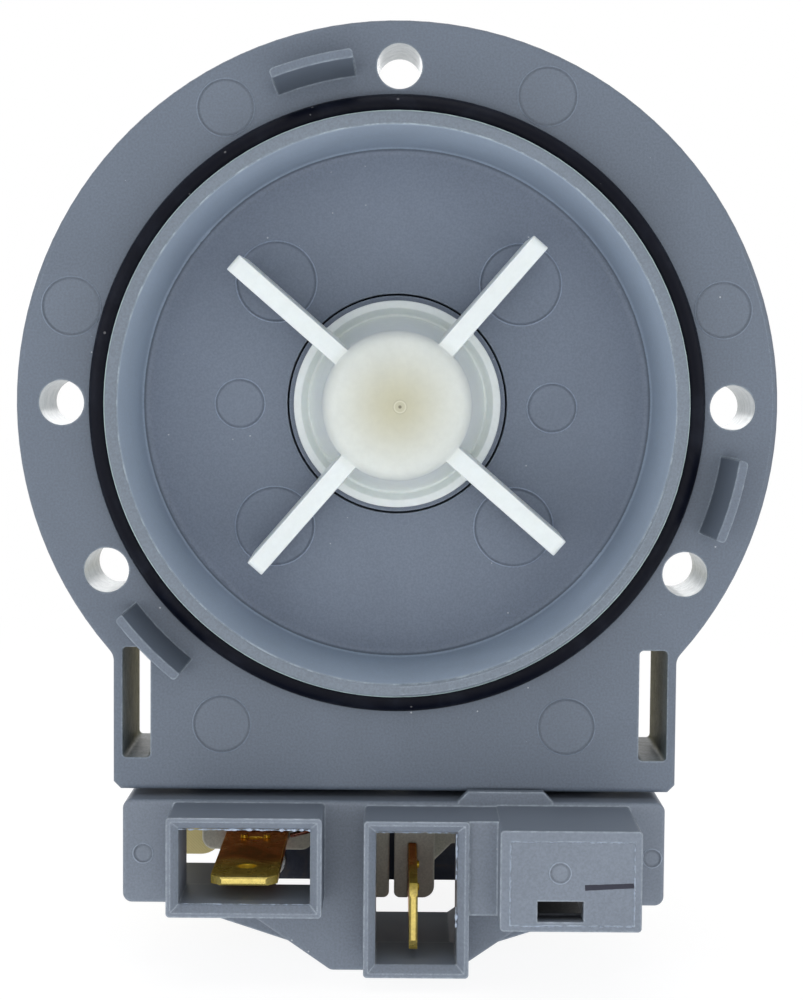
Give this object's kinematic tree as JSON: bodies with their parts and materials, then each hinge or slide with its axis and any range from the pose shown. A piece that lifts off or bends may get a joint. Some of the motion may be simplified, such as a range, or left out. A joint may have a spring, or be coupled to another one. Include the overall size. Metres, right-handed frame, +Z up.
{
  "type": "washer drain pump",
  "caption": "Synchronous motor drain pump for a washing machine: flange with impeller cup, O-ring, four-blade impeller, terminal cover with push-on tabs, and stator behind.",
  "frame": {"origin": "pump axis at the flange's front face, midway between the two side screw holes", "axes": "-Y along the pump axis out of the impeller cup, +Y towards the motor, +Z up with the terminals below, +X to the right seen from the impeller side"},
  "size_m": [0.0726, 0.061, 0.0907],
  "materials": {
    "housing_grey": "fine moulded grain",
    "cover_grey": "fine moulded grain",
    "impeller_white": "smooth, slightly translucent",
    "seal_rubber": "satin",
    "dog_plastic": "smooth",
    "steel": "ground",
    "ferrite": "matte",
    "carbon_bush": "matte",
    "washer_plastic": "smooth",
    "lamination": "dark varnish over stacked sheets",
    "bobbin_grey": "smooth",
    "enamelled_copper": "enamelled",
    "cream_tape": "dull",
    "terminal_brass": "rolled, slightly tarnished",
    "cutout_case": "smooth"
  },
  "bodies": {
    "casing": {"pump_flange": "housing_grey", "o_ring": "seal_rubber", "front_bearing_holder": "housing_grey", "holder_seal": "seal_rubber", "front_bearing": "carbon_bush", "front_thrust_washer": "washer_plastic", "rear_thrust_washer": "washer_plastic", "rear_bearing": "carbon_bush", "rear_bearing_holder": "seal_rubber", "stator_core": "lamination", "core_rivets": "steel", "stator_screws": "steel", "screw_washers": "steel", "left_bobbin": "bobbin_grey", "right_bobbin": "bobbin_grey", "left_winding": "enamelled_copper", "right_winding": "enamelled_copper", "left_tape_wrap": "cream_tape", "right_tape_wrap": "cream_tape", "terminal_cover": "cover_grey", "left_terminal": "terminal_brass", "middle_terminal": "terminal_brass", "link_wire": "enamelled_copper", "thermal_cutout": "cutout_case", "cutout_sleeve": "cream_tape"},
    "rotor": {"shaft": "steel", "rotor_magnet": "ferrite", "magnet_hub": "dog_plastic", "drive_dog": "dog_plastic", "dog_buffer": "seal_rubber"},
    "impeller_body": {"impeller": "impeller_white", "hub_cap": "impeller_white"}
  },
  "joints": [
    {"name": "rotor_spin", "type": "hinge", "parent": "casing", "child": "rotor", "pos_m": [0, 0, 0], "axis": [0, -1, 0], "continuous": true},
    {"name": "impeller_play", "type": "hinge", "parent": "rotor", "child": "impeller_body", "pos_m": [0, 0, 0], "axis": [0, -1, 0], "range_deg": [-118, 118]}
  ]
}
